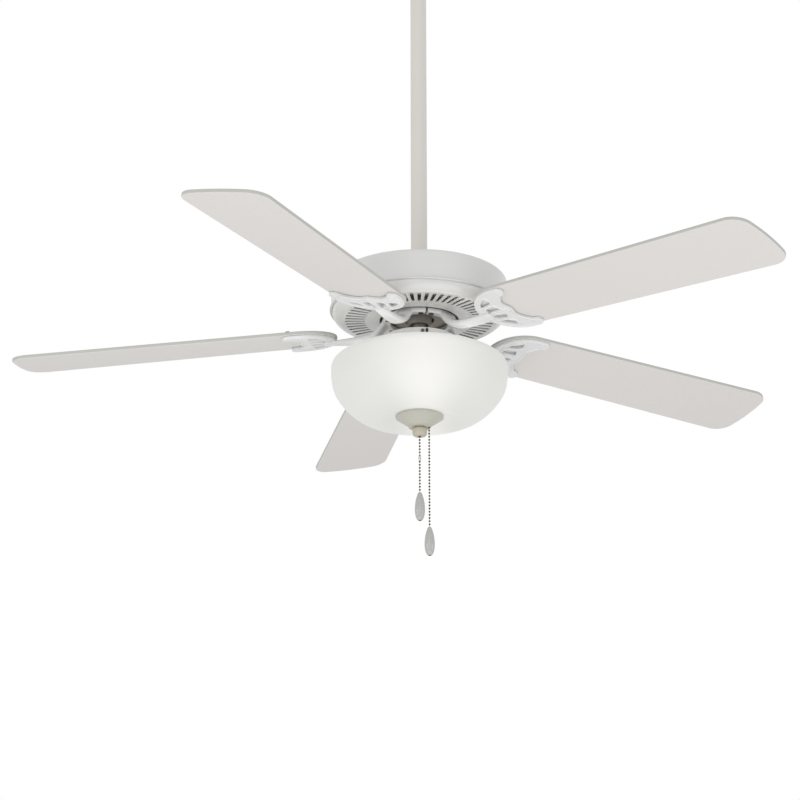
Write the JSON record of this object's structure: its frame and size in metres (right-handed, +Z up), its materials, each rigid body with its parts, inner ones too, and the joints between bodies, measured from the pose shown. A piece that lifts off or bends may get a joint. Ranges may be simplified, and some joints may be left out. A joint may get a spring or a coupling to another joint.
{
  "type": "ceiling fan with light",
  "caption": "White ceiling fan on a long downrod, with flat paddle blades on openwork irons, a vented motor drum, a frosted glass bowl light and bead pull chains.",
  "frame": {"origin": "centre of the hanger bracket's top face, where it lies against the ceiling", "axes": "+Z up, into the ceiling; -Z down along the rod; +X along the bracket's two screw slots; the reversing switch faces roughly -Y"},
  "size_m": [1.2511, 1.2699, 1.097],
  "materials": {
    "plated_steel": "zinc plated pressing",
    "white_enamel": "satin white enamel",
    "rod_enamel": "satin warm white enamel on tube",
    "iron_enamel": "gloss white enamel on a casting",
    "blade_foil": "white foil on board",
    "ball_nylon": "moulded nylon",
    "screw_steel": "dark plated screws",
    "white_screw": "painted screws",
    "bare_zinc": "bare grey casting",
    "lamination": "stacked steel sheet",
    "copper_wire": "enamelled winding wire",
    "motor_steel": "bare motor steel",
    "switch_black": "black moulded plastic",
    "lead_sleeve": "insulated wire",
    "holder_ceramic": "glazed ceramic",
    "lamp_brass": "screw shell",
    "bulb_glass": "frosted bulb glass",
    "opal_glass": "frosted white glass",
    "rubber": "soft washer",
    "cap_enamel": "satin ivory enamel",
    "knob_enamel": "satin ivory enamel",
    "chain_steel": "plated bead chain",
    "pull_plastic": "moulded pull"
  },
  "bodies": {
    "ceiling_mount": {"hanger_bracket": "plated_steel", "canopy": "white_enamel", "canopy_screws": "white_screw"},
    "hanging_fan": {"hanger_ball": "ball_nylon", "hanger_ball_pin": "plated_steel", "downrod": "rod_enamel", "motor_yoke": "white_enamel", "clevis_pin": "plated_steel", "clevis_clip": "plated_steel", "rod_screws": "plated_steel", "coupling_cover": "white_enamel", "upper_housing": "white_enamel", "vented_lower_housing": "white_enamel", "motor_shaft": "motor_steel", "stator_core": "lamination", "stator_windings": "copper_wire", "retaining_rings": "plated_steel", "switch_plate": "white_enamel", "switch_housing": "white_enamel", "switch_housing_screws": "screw_steel", "fan_speed_switch": "switch_black", "light_switch": "switch_black", "capacitor": "switch_black", "reverse_switch": "switch_black", "supply_leads": "lead_sleeve", "fitter_pan": "white_enamel", "centre_tube": "plated_steel", "centre_tube_nuts": "plated_steel", "lamp_strap": "plated_steel", "lampholders": "holder_ceramic", "bulb_bases": "lamp_brass", "bulb_globes": "bulb_glass", "glass_bowl": "opal_glass", "bowl_gasket": "rubber", "bowl_cap": "cap_enamel"},
    "rotor": {"rotor_cage": "lamination", "rotor_case_top": "motor_steel", "rotor_case_bottom": "motor_steel", "rotor_bearings": "plated_steel", "bearing_cup": "bare_zinc", "flywheel": "motor_steel", "iron_screws": "screw_steel", "blade_screws": "screw_steel", "blade_1": "blade_foil", "blade_2": "blade_foil", "blade_3": "blade_foil", "blade_4": "blade_foil", "blade_5": "blade_foil", "blade_iron_1": "iron_enamel", "blade_iron_2": "iron_enamel", "blade_iron_3": "iron_enamel", "blade_iron_4": "iron_enamel", "blade_iron_5": "iron_enamel"},
    "reverse_slide_button": {"reverse_slider": "switch_black"},
    "fan_pull_chain": {"fan_chain": "chain_steel", "fan_chain_coupling": "chain_steel", "fan_pull": "pull_plastic"},
    "light_pull_chain": {"light_chain": "chain_steel", "light_pull": "pull_plastic"},
    "knob": {"finial_knob": "knob_enamel"}
  },
  "joints": [
    {"name": "hanger_tilt", "type": "hinge", "parent": "ceiling_mount", "child": "hanging_fan", "pos_m": [0, 0, -0.042], "axis": [1, 0, 0], "range_deg": [-15, 15]},
    {"name": "rotor_spin", "type": "hinge", "parent": "hanging_fan", "child": "rotor", "pos_m": [0, 0, -0.68505], "axis": [0, 0, 1], "continuous": true},
    {"name": "reverse_slide", "type": "slide", "parent": "hanging_fan", "child": "reverse_slide_button", "axis": [0, 0, -1], "range_m": [0, 0.004]},
    {"name": "fan_pull", "type": "slide", "parent": "hanging_fan", "child": "fan_pull_chain", "axis": [0, 0, -1], "range_m": [0, 0.01], "stiffness_N_per_m": 400, "springref_m": -0.003},
    {"name": "light_pull", "type": "slide", "parent": "hanging_fan", "child": "light_pull_chain", "axis": [0, 0, -1], "range_m": [0, 0.01], "stiffness_N_per_m": 400, "springref_m": -0.003},
    {"name": "knob_turn", "type": "hinge", "parent": "hanging_fan", "child": "knob", "pos_m": [0, 0, -0.90005], "axis": [0, 0, -1], "range_deg": [0, 360]}
  ]
}
